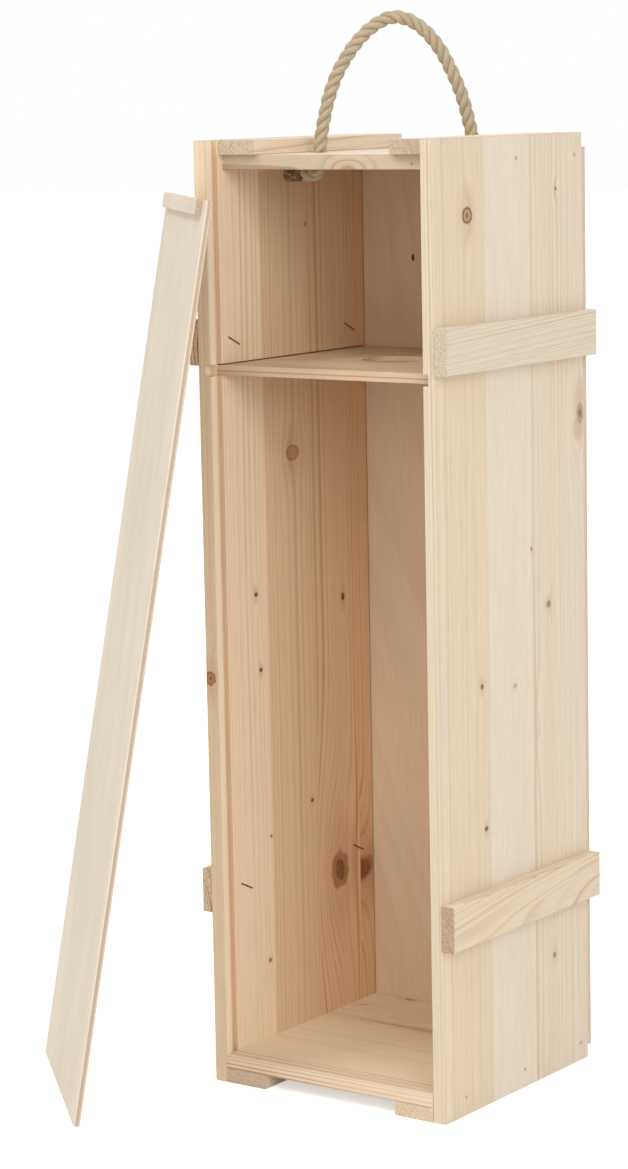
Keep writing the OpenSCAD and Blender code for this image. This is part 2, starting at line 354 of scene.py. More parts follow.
def split(tree, vector):
    """The three parts of a vector."""
    return add(tree, "ShaderNodeSeparateXYZ", {0: vector}).outputs


def combine(tree, parts):
    """Vector of the parts given by name or number, and 0 for the rest."""
    return add(tree, "ShaderNodeCombineXYZ", parts).outputs[0]


def ramp(tree, value, low, high, out_low=0.0, out_high=1.0):
    """Smooth step of value from low..high to out_low..out_high."""
    node = add(tree, "ShaderNodeMapRange", {
        "Value": value, "From Min": low, "From Max": high, "To Min": out_low, "To Max": out_high},
        interpolation_type="SMOOTHSTEP")
    return node.outputs["Result"]


def blend(tree, factor, a, b, mode="MIX"):
    """Mix of two colours, b taking the factor's share."""
    return add(tree, "ShaderNodeMix", {0: factor, 6: a, 7: b}, data_type="RGBA",
               blend_type=mode, clamp_factor=True).outputs[2]


def tinted(tree, colour, tint):
    """Product of a colour and a tint."""
    return blend(tree, 1.0, colour, tint, "MULTIPLY")


def noise(tree, vector, scale, detail=2.0, roughness=0.5):
    """Noise from 0 to 1 round 0.5."""
    return add(tree, "ShaderNodeTexNoise", {
        "Vector": vector, "Scale": scale, "Detail": detail, "Roughness": roughness}).outputs["Fac"]


def object_space(tree):
    """Place of the shaded point in its object's own axes."""
    return add(tree, "ShaderNodeTexCoord").outputs["Object"]


def new_group(name, inputs, outputs):
    """Node group with inputs of these defaults, where three numbers make a vector and four a
    colour, and with these outputs, which are values apart from Colour. Gives its tree, the sockets
    of its inputs and its output node."""
    tree = bpy.data.node_groups.new(name, "ShaderNodeTree")
    for label, default in inputs.items():
        kind = {3: "Vector", 4: "Color"}[len(default)] if isinstance(default, tuple) else "Float"
        made = tree.interface.new_socket(label, in_out="INPUT", socket_type="NodeSocket" + kind)
        made.default_value = default
    for label in outputs:
        kind = "Color" if label == "Colour" else "Float"
        tree.interface.new_socket(label, in_out="OUTPUT", socket_type="NodeSocket" + kind)
    return tree, tree.nodes.new("NodeGroupInput").outputs, tree.nodes.new("NodeGroupOutput")


def use(tree, group, inputs):
    """Outputs of a node group with these inputs."""
    node = tree.nodes.new("ShaderNodeGroup")
    node.node_tree = group
    return feed(tree, node, inputs).outputs


def new_material(name):
    """Material, its tree and its Principled node."""
    material = bpy.data.materials.new(name)
    material.use_nodes = True
    tree = material.node_tree
    return material, tree, tree.nodes["Principled BSDF"]


def finish(tree, surface, colour, roughness, height=None, bump=0.0, depth=0.0, more=None):
    """Feeds the surface its colour, its roughness, a normal that is bumped by height with strength
    bump and distance depth, and more of its inputs."""
    inputs = {"Base Color": colour, "Roughness": roughness, **(more or {})}
    if height is not None:
        inputs["Normal"] = add(tree, "ShaderNodeBump", {
            "Height": height, "Strength": bump, "Distance": depth}).outputs[0]
    feed(tree, surface, inputs)


def rgb(r, g, b):
    """Linear colour of an sRGB colour given in 0..255."""
    def linear(c):
        c /= 255
        return c / 12.92 if c <= 0.04045 else ((c + 0.055) / 1.055) ** 2.4
    return (linear(r), linear(g), linear(b), 1.0)


# -------- shader groups
KNOT_HEART = (0.30, 0.24, 0.20, 1)   # tints, and the colour of the glue between staves
END_LATEWOOD = (0.42, 0.32, 0.24, 1)
# tint of the edges: wear, and painted shade in the seams where boards meet
EDGE_WEAR_AND_SHADE = (0.86, 0.80, 0.72, 1)
GLUE_BROWN = (0.30, 0.19, 0.10, 1)
PARTING = 0.8                        # how far a knot draws the grain's lookup to its axis
KNOT_RINGS = 22.0                    # radians of its own rings per radius of a knot


def growth_rings_group():
    """Annual rings round a pith line, which may lean: pith(along) = pith + lean * along. In board
    space (across, through, along) the ring number is
    n = (|(across, through) - pith(along)| + sway) / spacing + slow drift + phase. Latewood is the
    end of each ring, smoothstep(0.45, 0.94, frac(n)), cut off between 0.96 and 1. Each ring shows
    a random share of it, and long patches of the board show more or less."""
    tree, i, end_node = new_group("growth rings", {
        "Vector": (0, 0, 0), "Pith": (0, 0, 0), "Lean": (0, 0, 0), "Spacing": 0.003, "Sway": 0.004,
        "Phase": 0.0, "Seed": 0.0}, ("Latewood", "Fibre", "Tone", "Fleck"))
    shifted = vec(tree, "ADD", i["Vector"], vec(tree, "SCALE", (0.13, 0.07, 0.41), i["Seed"]))

    def along_grain(squash, *noise_values):
        """Noise that is drawn out along the grain by one over squash."""
        return noise(tree, vec(tree, "MULTIPLY", shifted, (1, 1, squash)), *noise_values)

    sway = mul(tree, minus(tree, along_grain(0.075, 26, 2.5), 0.5), i["Sway"])
    along = split(tree, i["Vector"])[2]
    pith = vec(tree, "ADD", i["Pith"], vec(tree, "SCALE", i["Lean"], along))
    cross = vec(tree, "MULTIPLY", vec(tree, "SUBTRACT", i["Vector"], pith), (1, 1, 0))
    radius = plus(tree, vec(tree, "LENGTH", cross), sway)
    count = calc(tree, "DIVIDE", radius, i["Spacing"])
    drift_at = plus(tree, mul(tree, count, 0.23), mul(tree, i["Seed"], 3.7))
    drift = add(tree, "ShaderNodeTexNoise", {"W": drift_at, "Scale": 1.0, "Detail": 1.0},
                noise_dimensions="1D").outputs["Fac"]
    number = plus(tree, plus(tree, count, mul(tree, drift, 2.6)), i["Phase"])
    part = calc(tree, "FRACT", number)
    late = mul(tree, ramp(tree, part, 0.45, 0.94), ramp(tree, part, 1.0, 0.96))
    each = add(tree, "ShaderNodeTexWhiteNoise", {"W": calc(tree, "FLOOR", number)},
               noise_dimensions="1D").outputs["Value"]
    late = mul(tree, late, calc(tree, "MULTIPLY_ADD", each, 0.8, 0.2))
    patch = along_grain(0.1, 30, 1.5)
    feed(tree, end_node, {
        "Latewood": mul(tree, late, ramp(tree, patch, 0.32, 0.68, 0.35, 1.1)),
        "Fibre": along_grain(0.022, 1500, 3, 0.6), "Tone": along_grain(0.12, 22, 2),
        "Fleck": along_grain(0.11, 900, 1)})
    return tree


def knot_group():
    """A knot that goes through the board along the axis left out of its plane. q is the distance
    from the centre over the radius, with the grain direction shortened by length; far is the same
    with that direction halved again, so that all round the knot reaches further along the grain.
    The grain parts round it: with swell = exp(-(far / reach)^2), the ring number rises by
    swirl * swell and a point is looked up nearer to the knot's axis by PARTING * across * swell.
    The core is 1 inside q = 1, less its own faint rings. Its dark parts are the heart, inside
    q = heart, and a broken ring near the rim. Roughness is added to q for these three. The halo
    is the stained wood round it, from far = 2.6 inwards."""
    tree, i, end_node = new_group("knot", {
        "Vector": (0, 0, 0), "Centre": (0, 0, 0), "Plane": (1, 0, 1), "Radius": 0.003,
        "Length": 1.0, "Swirl": 1.5, "Reach": 2.2, "Roughness": 0.0, "Heart": 0.3, "Rim": 1.0},
        ("Phase", "Shift", "Core", "Dark", "Halo"))
    off = vec(tree, "MULTIPLY", vec(tree, "SUBTRACT", i["Vector"], i["Centre"]), i["Plane"])
    squeeze = combine(tree, {"X": 1.0, "Y": 1.0, "Z": calc(tree, "DIVIDE", 1.0, i["Length"])})
    flat = vec(tree, "MULTIPLY", off, squeeze)
    q = calc(tree, "DIVIDE", vec(tree, "LENGTH", flat), i["Radius"])
    edge = plus(tree, q, i["Roughness"])
    stretch = vec(tree, "LENGTH", vec(tree, "MULTIPLY", flat, (1, 1, 0.5)))
    far = calc(tree, "DIVIDE", stretch, i["Radius"])
    spread = calc(tree, "DIVIDE", stretch, mul(tree, i["Radius"], i["Reach"]))
    swell = calc(tree, "EXPONENT", mul(tree, mul(tree, spread, spread), -1.0))
    across = split(tree, off)[0]
    fill = ramp(tree, edge, 1.14, 0.82)
    rings = calc(tree, "MULTIPLY_ADD", calc(tree, "SINE", mul(tree, edge, KNOT_RINGS)), 0.12, 0.86)
    heart = ramp(tree, edge, plus(tree, i["Heart"], 0.16), plus(tree, i["Heart"], -0.12))
    broken = ramp(tree, i["Roughness"], -0.12, 0.12, 1.0, 0.5)
    band = mul(tree, ramp(tree, edge, 0.62, 0.84), broken)
    dark = calc(tree, "MAXIMUM", heart, mul(tree, band, i["Rim"]))
    feed(tree, end_node, {
        "Phase": mul(tree, swell, i["Swirl"]),
        "Shift": mul(tree, mul(tree, across, -PARTING), swell),
        "Core": mul(tree, fill, rings), "Dark": mul(tree, fill, dark),
        "Halo": ramp(tree, far, 2.6, 0.6)})
    return tree


def edge_distance_group():
    """Distance of a surface point to the nearest edge of its box: the middle one of the three
    distances to the box's faces, half size - |p - centre| on each axis."""
    tree, i, end_node = new_group("edge distance", {
        "Vector": (0, 0, 0), "Centre": (0, 0, 0), "Half Size": (1, 1, 1)}, ("Distance",))
    gap = vec(tree, "SUBTRACT", i["Half Size"],
              vec(tree, "ABSOLUTE", vec(tree, "SUBTRACT", i["Vector"], i["Centre"])))
    part = split(tree, gap)
    low = calc(tree, "MINIMUM", part[0], part[1])
    high = calc(tree, "MAXIMUM", part[0], part[1])
    middle = calc(tree, "MAXIMUM", low, calc(tree, "MINIMUM", high, part[2]))
    feed(tree, end_node, {"Distance": middle})
    return tree


def end_grain_group():
    """1 where the surface looks along the grain, from the normal's part along the grain."""
    tree, i, end_node = new_group("end grain", {"Grain": (0, 0, 1)}, ("End",))
    normal = add(tree, "ShaderNodeNewGeometry").outputs["Normal"]
    along = calc(tree, "ABSOLUTE", vec(tree, "DOT_PRODUCT", normal, i["Grain"]))
    feed(tree, end_node, {"End": ramp(tree, along, 0.55, 0.85)})
    return tree


def timber_colour_group():
    """Colour, roughness and height of bare softwood from its rings, knots and ends, and its edges,
    darkened as wear and as painted shade in the seams.
    """
    tree, i, end_node = new_group("timber colour", {
        "Latewood": 0.0, "Fibre": 0.5, "Tone": 0.5, "Fleck": 0.5, "Speckle": 0.5, "Core": 0.0,
        "Dark": 0.0, "Halo": 0.0, "End": 0.0, "End Contrast": 0.6, "Edge": 1.0, "Joint": 0.0,
        "Contrast": 0.6, "Early Colour": (0.8, 0.7, 0.5, 1), "Late Colour": (0.6, 0.4, 0.2, 1),
        "Knot Colour": (0.3, 0.15, 0.07, 1), "End Colour": (0.5, 0.38, 0.25, 1),
        "Stave Tint": (1, 1, 1, 1)}, ("Colour", "Roughness", "Height"))
    late = calc(tree, "MULTIPLY", i["Latewood"], i["Contrast"], clamp=True)
    colour = blend(tree, late, i["Early Colour"], i["Late Colour"])
    tone = mul(tree, minus(tree, i["Tone"], 0.5), 0.9)
    warm = blend(tree, plus(tree, 0.5, tone), (1.03, 1.035, 1.05, 1), (0.97, 0.945, 0.90, 1))
    for tint in (warm, i["Stave Tint"], ramp(tree, i["Fibre"], 0.35, 0.75, 1.03, 0.93)):
        colour = tinted(tree, colour, tint)
    fleck = ramp(tree, i["Fleck"], 0.70, 0.80, 0.0, 0.22)
    colour = blend(tree, fleck, colour, i["Late Colour"])
    colour = blend(tree, mul(tree, i["Halo"], 0.26), colour, i["Knot Colour"])
    colour = blend(tree, i["Core"], colour, i["Knot Colour"])
    deep = tinted(tree, i["Knot Colour"], KNOT_HEART)
    colour = blend(tree, mul(tree, i["Dark"], 0.88), colour, deep)
    end_late = tinted(tree, i["End Colour"], END_LATEWOOD)
    end_share = calc(tree, "MULTIPLY", i["Latewood"], i["End Contrast"], clamp=True)
    end_colour = blend(tree, end_share, i["End Colour"], end_late)
    end_colour = tinted(tree, end_colour, ramp(tree, i["Speckle"], 0.42, 0.64, 1.10, 0.76))
    colour = blend(tree, mul(tree, i["End"], 0.9), colour, end_colour)
    # darker near each edge: wear, and painted shade where boards meet
    wear_and_shade = ramp(tree, i["Edge"], 0.9 * MM, 0.2 * MM, 0.0, 0.25)
    colour = blend(tree, wear_and_shade, colour, tinted(tree, colour, EDGE_WEAR_AND_SHADE))
    colour = blend(tree, i["Joint"], colour, GLUE_BROWN)
    rough = calc(tree, "MULTIPLY_ADD", i["Fibre"], 0.16, 0.56)
    rough = plus(tree, rough, mul(tree, i["End"], 0.15))
    height = plus(tree, mul(tree, i["Fibre"], 0.5), mul(tree, late, 0.35))
    height = plus(tree, height, mul(tree, i["Core"], 0.3))
    feed(tree, end_node, {
        "Colour": colour, "Roughness": minus(tree, rough, mul(tree, late, 0.10)),
        "Height": minus(tree, height, mul(tree, i["Joint"], 0.8))})
    return tree


RINGS = growth_rings_group()
KNOT = knot_group()
EDGE = edge_distance_group()
END = end_grain_group()
TIMBER = timber_colour_group()

# Which object axis runs across, through and along the board
SIDE_BOARD = ("Y", "X", "Z")
CROSS_BOARD = ("Y", "Z", "X")
BATTEN = ("Z", "X", "Y")
RUNNER = ("X", "Z", "Y")
AXES = {"X": (1, 0, 0), "Y": (0, 1, 0), "Z": (0, 0, 1)}

PALE = rgb(231, 217, 196)
WARM = rgb(232, 211, 182)
LATE = rgb(200, 166, 124)
LATE_RED = rgb(190, 138, 92)
KNOT_BROWN = rgb(186, 132, 88)
END_GREY = rgb(208, 188, 158)

BIG_KNOT = 5.5                       # radius in millimetres, past which its outline is lumpy
SMALL_KNOT = 2.4                     # and up to which its outline is ragged in full
SHINE = {"Specular IOR Level": 0.3}  # of bare wood


def knot_at(stave, across, along, radius, length=0.75, swirl=0.5, reach=3.0, heart=0.8,
            strength=1.0, plane=(1, 0, 1), halo=1.0, rim=1.0):
    """A knot in a stave: places and radius in millimetres, length over width, rings of swirl and
    their reach in radii, radius of the dark heart over the knot's, how strongly it shows, the
    directions that its outline lies in, how strongly the wood round it is stained, and how dark
    its rim is. Gives what softwood needs to know, and the inputs of the knot group."""
    centre = (across * MM, 0, along * MM) if plane[0] else (0, across * MM, along * MM)
    return stave, radius, strength, halo, {
        "Centre": centre, "Plane": plane, "Radius": radius * MM, "Length": length,
        "Swirl": swirl, "Reach": reach, "Heart": heart, "Rim": rim}


def softwood(node_name, order, staves, knots=(), early=PALE, late=LATE, knot=KNOT_BROWN,
             end=END_GREY, end_contrast=0.6, lean=(0, 0), sway=0.004, seed=0.0, bump=0.10,
             glue=0.12, outside=None):
    """Bare softwood. staves are (upper edge, pith across, pith through, ring spacing, contrast,
    tint) from the lowest to the highest, in millimetres across the board. knots come from knot_at.
    early, late, knot and end are the colours of earlywood, latewood, knots and end grain, and
    end_contrast the share of latewood in the ends. lean is the pith's shift across and through
    over its run along the board, sway how far the rings wander, and glue how dark the line between
    two staves is. outside is the tint of the lower half of the thickness, whose face has seen more
    daylight and less dust."""
    material, tree, surface = new_material(node_name + "_wood")
    low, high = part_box(node_name)
    centre = tuple((a + b) / 2 for a, b in zip(low, high))
    half = tuple((b - a) / 2 for a, b in zip(low, high))
    where = object_space(tree)
    parts = split(tree, where)
    board = combine(tree, {i: parts[axis] for i, axis in enumerate(order)})
    across = parts[order[0]]

    edges, pith_across, pith_through, spacings, contrasts, tints = zip(*staves)
    masks, joint, below = [], 0.0, None
    for edge in edges[:-1]:
        above = calc(tree, "GREATER_THAN", across, edge * MM)
        inside = minus(tree, 1.0, above)
        masks.append(inside if below is None else mul(tree, below, inside))
        below = above
        near = calc(tree, "ABSOLUTE", minus(tree, across, edge * MM))
        line = ramp(tree, near, 0.3 * MM, 0.1 * MM, 0.0, glue)
        joint = line if isinstance(joint, float) else calc(tree, "MAXIMUM", joint, line)
    masks.append(1.0 if below is None else below)

    def of_stave(values):
        """The value of the stave that the point is in."""
        if len(values) == 1:
            return values[0]
        total = None
        for mask, value in zip(masks, values):
            part = vec(tree, "SCALE", value, mask)
            total = part if total is None else vec(tree, "ADD", total, part)
        return total

    pith = of_stave([(a * MM, b * MM, 0) for a, b in zip(pith_across, pith_through)])
    tint = of_stave(tints)
    if len(staves) == 1:
        spacing, contrast, tint = spacings[0] * MM, contrasts[0], (*tint, 1.0)
    else:
        rings_of_stave = of_stave([(a * MM, b, 0) for a, b in zip(spacings, contrasts)])
        spacing, contrast, _ = split(tree, rings_of_stave)
    if outside:
        middle = centre["XYZ".index(order[1])]
        side = ramp(tree, parts[order[1]], middle + 1 * MM, middle - 1 * MM)
        tint = blend(tree, side, tint, (*outside, 1))

    total = {"Phase": 0.0, "Shift": 0.0, "Core": 0.0, "Dark": 0.0, "Halo": 0.0}
    if knots:
        ragged = mul(tree, minus(tree, noise(tree, board, 420, 2), 0.5), 0.9)
        mottle = calc(tree, "MULTIPLY_ADD", ragged, 1.5, 0.86, clamp=True)
        lumpy = mul(tree, minus(tree, noise(tree, board, 100, 1), 0.5), 0.7)
    for stave, radius, strength, halo, shape in knots:
        outline = lumpy if radius > BIG_KNOT else mul(tree, ragged, min(1.0, SMALL_KNOT / radius))
        out = use(tree, KNOT, {"Vector": board, "Roughness": outline, **shape})
        for name in total:
            held = mul(tree, out[name], masks[stave])
            if name == "Dark":
                held = mul(tree, held, mottle)
            if name in ("Phase", "Shift"):
                total[name] = plus(tree, held, total[name])
            else:
                shown = strength * (halo if name == "Halo" else 1.0)
                total[name] = calc(tree, "MAXIMUM", mul(tree, held, shown), total[name])
    if knots:
        board = vec(tree, "ADD", board, combine(tree, {"X": total["Shift"]}))

    rings = use(tree, RINGS, {"Vector": board, "Pith": pith, "Lean": (*lean, 0), "Spacing": spacing,
                              "Sway": sway, "Phase": total["Phase"], "Seed": seed})
    out = use(tree, TIMBER, {
        **{name: rings[name] for name in ("Latewood", "Fibre", "Tone", "Fleck")},
        **{name: total[name] for name in ("Core", "Dark", "Halo")},
        "Speckle": noise(tree, where, 1200, 2), "End Contrast": end_contrast,
        "End": use(tree, END, {"Grain": AXES[order[2]]})["End"],
        "Edge": use(tree, EDGE, {"Vector": where, "Centre": centre, "Half Size": half})["Distance"],
        "Joint": joint, "Contrast": contrast, "Early Colour": early, "Late Colour": late,
        "Knot Colour": knot, "End Colour": end, "Stave Tint": tint})
    finish(tree, surface, out["Colour"], out["Roughness"], out["Height"], bump, 0.4 * MM, SHINE)
    dress(node_name, material)


def dress(node_name, material):
    """Gives a CAD node its material."""
    mesh = NODES[node_name].data
    mesh.materials.clear()
    mesh.materials.append(material)


# -------- timber pieces
def dress_timber():
    """Side panels, boards, battens and runners; places are millimetres in the CAD frame, and y0
    is the front of the side panels."""
    y0 = FRONT_Y / MM
    end_cut = (0, 1, 1)              # plane of a knot seen on the board's long edge
    softwood("left_side_panel", SIDE_BOARD, [
        (y0 + 0.45, y0 - 20, -120, 3.2, 0.30, (0.92, 0.93, 0.92)),
        (y0 + 6.0, y0 - 70, -150, 3.0, 0.30, (1.16, 1.27, 1.33)),
        # painted shade: the strip over the groove, y0 + 6 to y0 + 11.6, is tinted darker and warmer
        (y0 + 11.6, y0 - 70, -150, 3.0, 0.30, (0.99, 0.90, 0.83)),
        (y0 + 54, y0 + 100, -165, 3.0, 0.55, (1.13, 1.16, 1.19)),
        (y0 + 105, y0 - 40, -210, 3.4, 0.50, (0.98, 0.905, 0.83)),
        (y0 + 151, y0 + 50, -190, 2.4, 0.95, (0.99, 0.88, 0.785)),
        (y0 + 166.1, y0 + 60, -200, 2.4, 0.85, (1.01, 0.85, 0.725)),
        # painted shade: the last stave darkens the rear 0.9 mm, the dark line in the corner at the
        # back panel
        (y0 + 170, y0 + 60, -200, 2.4, 0.85, (0.42, 0.30, 0.22))],
        knots=[
            knot_at(4, y0 + 102.4, 535.1, 1.2, 1.4, strength=0.45),
            knot_at(4, y0 + 84.1, 391.6, 6.8, 0.74, 0.3, 1.7, -0.5, 0.66, rim=0.9),
            knot_at(3, y0 + 41.7, 306.2, 1.8, 0.8, 0.8, 3.5),
            knot_at(5, y0 + 136.6, 291.9, 1.8, 1.5, 1.0, 4.0),
            knot_at(3, y0 + 45.2, 257.5, 1.7, 0.8),
            knot_at(4, y0 + 97.9, 163.5, 1.5, 0.8),
            knot_at(3, y0 + 52.6, 148.7, 1.2, 0.8, strength=0.7),
            knot_at(5, y0 + 127.5, 111.5, 8.6, 1.55, 4.0, 2.5, 0.52, 0.86, halo=1.2, rim=0.45),
            knot_at(6, y0 + 151.0, 106.5, 15.0, 0.62, 4.0, 2.4, 0.80, 0.80, halo=1.6, rim=0.45),
            knot_at(3, y0 + 48.4, 68.2, 1.6, 0.8, strength=0.8),
            knot_at(0, -83.5, 258.8, 3.9, 1.15, 1.6, 2.2, 0.25, 0.9, end_cut)],
        early=WARM, late=LATE_RED, knot=rgb(170, 112, 72), sway=0.005, seed=1.0,
        outside=(0.975, 0.965, 0.945))
    softwood("right_side_panel", SIDE_BOARD, [
        (y0 + 0.45, y0 - 30, 140, 2.6, 1.0, (0.90, 0.905, 0.88)),
        (y0 + 8.2, y0 - 60, 170, 2.6, 0.60, (0.985, 0.97, 0.98)),
        (y0 + 10.4, y0 + 62, 210, 9.0, 0.10, (0.94, 0.86, 0.78)),
        (y0 + 54.5, y0 + 130, 240, 3.4, 0.26, (0.95, 0.925, 0.87)),
        (y0 + 105, y0 + 92, 230, 5.0, 0.10, (0.985, 1.01, 1.06)),
        (y0 + 107.5, y0 - 60, 190, 1.3, 0.90, (0.93, 0.91, 0.90)),
        (y0 + 170, y0 - 60, 190, 2.9, 0.52, (0.965, 0.97, 0.985))],
        knots=[
            knot_at(3, y0 + 35.9, 544.6, 5.3, 0.98, 0.9, 1.9, 0.25, 1.0, rim=1.5),
            knot_at(6, y0 + 135.7, 556.6, 1.1, 1.2, strength=0.8),
            knot_at(6, y0 + 162.6, 416.5, 4.2, 1.5, 0.3, 2.6, 0.40, 0.80, halo=1.4, rim=0.3),
            knot_at(6, y0 + 159.6, 407.0, 5.4, 1.5, 0.0, 2.0, -0.5, 0.30, rim=0.0),
            knot_at(4, y0 + 104.0, 338.2, 1.0, 1.2, strength=0.8),
            knot_at(6, y0 + 123.5, 301.3, 2.8, 0.8, 1.2, 2.6, 0.45, 0.75),
            knot_at(3, y0 + 46.2, 261.5, 1.7, 1.0, 0.8),
            knot_at(4, y0 + 83.3, 256.1, 2.4, 0.6, 0.5, 2.5, 0.2, 0.5),
            knot_at(6, y0 + 109.6, 227.3, 3.0, 3.0, 1.3, 3.0, 0.1, 0.12),
            knot_at(3, y0 + 49.2, 173.3, 1.9, 0.9, 0.8),
            knot_at(6, y0 + 126.8, 76.8, 2.0, 1.0, 1.2, 3.0, 0.6, 0.7)],
        knot=rgb(182, 142, 108), seed=2.0)
    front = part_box("top_board")[0][1] / MM
    softwood("top_board", CROSS_BOARD, [
        # painted shade: the first stave tints the board's front face darker; its arcs are grain
        (front + 0.45, -204.7, 540, 4.5, 0.95, (0.74, 0.70, 0.63)),
        (90, -204.7, 540, 4.5, 0.45, (0.97, 0.96, 0.93))],
        knots=[knot_at(0, 571.5, 15.6, 3.4, 1.05, 3.0, 2.4, -0.5, 0.30, end_cut, rim=0.0),
               knot_at(0, 575.2, 61, 0.8, 1.0, 0.0, 3.0, 0.9, 0.7, end_cut)],
        late=rgb(172, 142, 102), sway=0.008, seed=3.0, glue=0.0)
    softwood("bottom_board", CROSS_BOARD, [
        (y0 + 15, -95, 62, 2.2, 1.5, (0.99, 0.965, 0.92)),
        (y0 + 103, -60, -60, 5.0, 0.20, (1.04, 0.99, 0.905)),
        (90, -60, -60, 4.0, 0.40, (1.04, 0.97, 0.885))],
        knots=[knot_at(2, y0 + 110, 25, 3.0, 26, 0.0, 3.0, -0.5, 0.55, rim=0.0),
               knot_at(2, y0 + 165, -50, 2.2, 1.6, 0.8, 3.0, 0.1, 0.7),
               knot_at(2, y0 + 139, -68, 1.2, 3.0, 0.3, 3.0, 0.5, 0.3)],
        late=rgb(194, 136, 86), sway=0.005, seed=4.4, glue=0.0)

    grey, bright = (0.92, 0.935, 0.94), (0.96, 0.945, 0.92)
    left_end, left_late = rgb(228, 202, 174), rgb(176, 146, 110)
    arches = {"lower_right_batten": [    # rings round a knot that was cut away below the face
        knot_at(0, 108, y0 + 96, 10, 3.0, 3.2, 2.0, -0.5, 0.0, halo=0.0, rim=0.0)]}
    for name, stave, seed, end, contrast, lean, late in (
            ("upper_right_batten", (560, 522, 128, 2.3, 0.95, grey), 5.0, rgb(199, 185, 161), 0.25,
             (0.05, 0.0), rgb(176, 150, 118)),
            ("lower_right_batten", (200, 88, 62, 2.3, 1.4, bright), 6.2, rgb(184, 158, 130), 1.6,
             (0.07, 0.03), rgb(186, 132, 94)),
            ("upper_left_batten", (560, 464, -24, 3.0, 0.85, grey), 7.1, left_end, 2.6,
             (0.02, 0.05), left_late),
            ("lower_left_batten", (200, 95, -160, 3.2, 0.85, grey), 8.3, left_end, 2.6,
             (0.02, 0.05), left_late)):
        softwood(name, BATTEN, [stave], knots=arches.get(name, ()), late=late, end=end,
                 end_contrast=contrast, lean=lean, sway=0.006, seed=seed, bump=0.16)
    for name, x, z, seed, end in (
            ("top_left_runner", -64, 600, 9.0, rgb(196, 180, 158)),
            ("top_right_runner", 63, 605, 10.0, rgb(194, 172, 148)),
            ("bottom_left_runner", -63, -30, 11.0, rgb(204, 184, 160)),
            ("bottom_right_runner", 64, -26, 12.0, rgb(218, 196, 168))):
        softwood(name, RUNNER, [(x + 60, x - 22, z, 2.0, 0.85, (0.99, 0.97, 0.94))],
                 late=LATE_RED, end=end, end_contrast=0.22, lean=(0, 0.05), sway=0.008,
                 seed=seed, bump=0.16)


# -------- plywood
PLY_GLUE = (0.32, 0.20, 0.11, 1)
CROSS_PORES = (0.8, 0.72, 0.62, 1)   # tint
FLAW = rgb(84, 44, 22)


def veneer_group():
    """Rotary-cut veneer: faint contour lines of a long low swell, short dark pores along the grain
    and soft cloudy tone. Each contour is smoothstep(0.15, 0.9, frac(11 * swell)), cut off at 1."""
    tree, i, end_node = new_group("veneer", {
        "Vector": (0, 0, 0), "Seed": 0.0, "Figure": 0.3, "Slant": 0.0},
        ("Contour", "Fibre", "Tone", "Pore"))
    shifted = vec(tree, "ADD", i["Vector"], vec(tree, "SCALE", (0.31, 0.17, 0.23), i["Seed"]))
    along = split(tree, shifted)[2]
    slanted = vec(tree, "ADD", shifted, combine(tree, {"X": mul(tree, along, i["Slant"])}))

    def along_grain(space, squash, *noise_values):
        """Noise that is drawn out along the grain by one over squash."""
        return noise(tree, vec(tree, "MULTIPLY", space, (1, 1, squash)), *noise_values)

    part = calc(tree, "FRACT", mul(tree, along_grain(slanted, 0.28, 9, 1.2), 11.0))
    contour = mul(tree, ramp(tree, part, 0.15, 0.9), ramp(tree, part, 1.0, 0.9))
    feed(tree, end_node, {
        "Contour": mul(tree, contour, i["Figure"]),
        "Fibre": along_grain(shifted, 0.03, 1100, 3, 0.6),
        "Tone": along_grain(slanted, 0.25, 22, 2), "Pore": along_grain(shifted, 0.09, 1500, 1)})
    return tree


VENEER = veneer_group()


def lid_foot():
    """Near lower corner of the lid's inner face, worked out as the part does."""
    turn, lean = LID_TURN, LID_LEAN
    along = np.array([-math.cos(turn), math.sin(turn), 0])
    out = np.array([-math.sin(turn), -math.cos(turn), 0])
    up = np.array([0, 0, math.cos(lean)]) - math.sin(lean) * out
    gap = LID_GAP - EDGE_EASE * min(math.sin(turn), math.cos(turn))
    touch = np.array([-HALF_W, FRONT_Y, LID_H * math.cos(lean)]) + gap * out
    return tuple(touch - LID_H * up - LID_TOUCH * along)


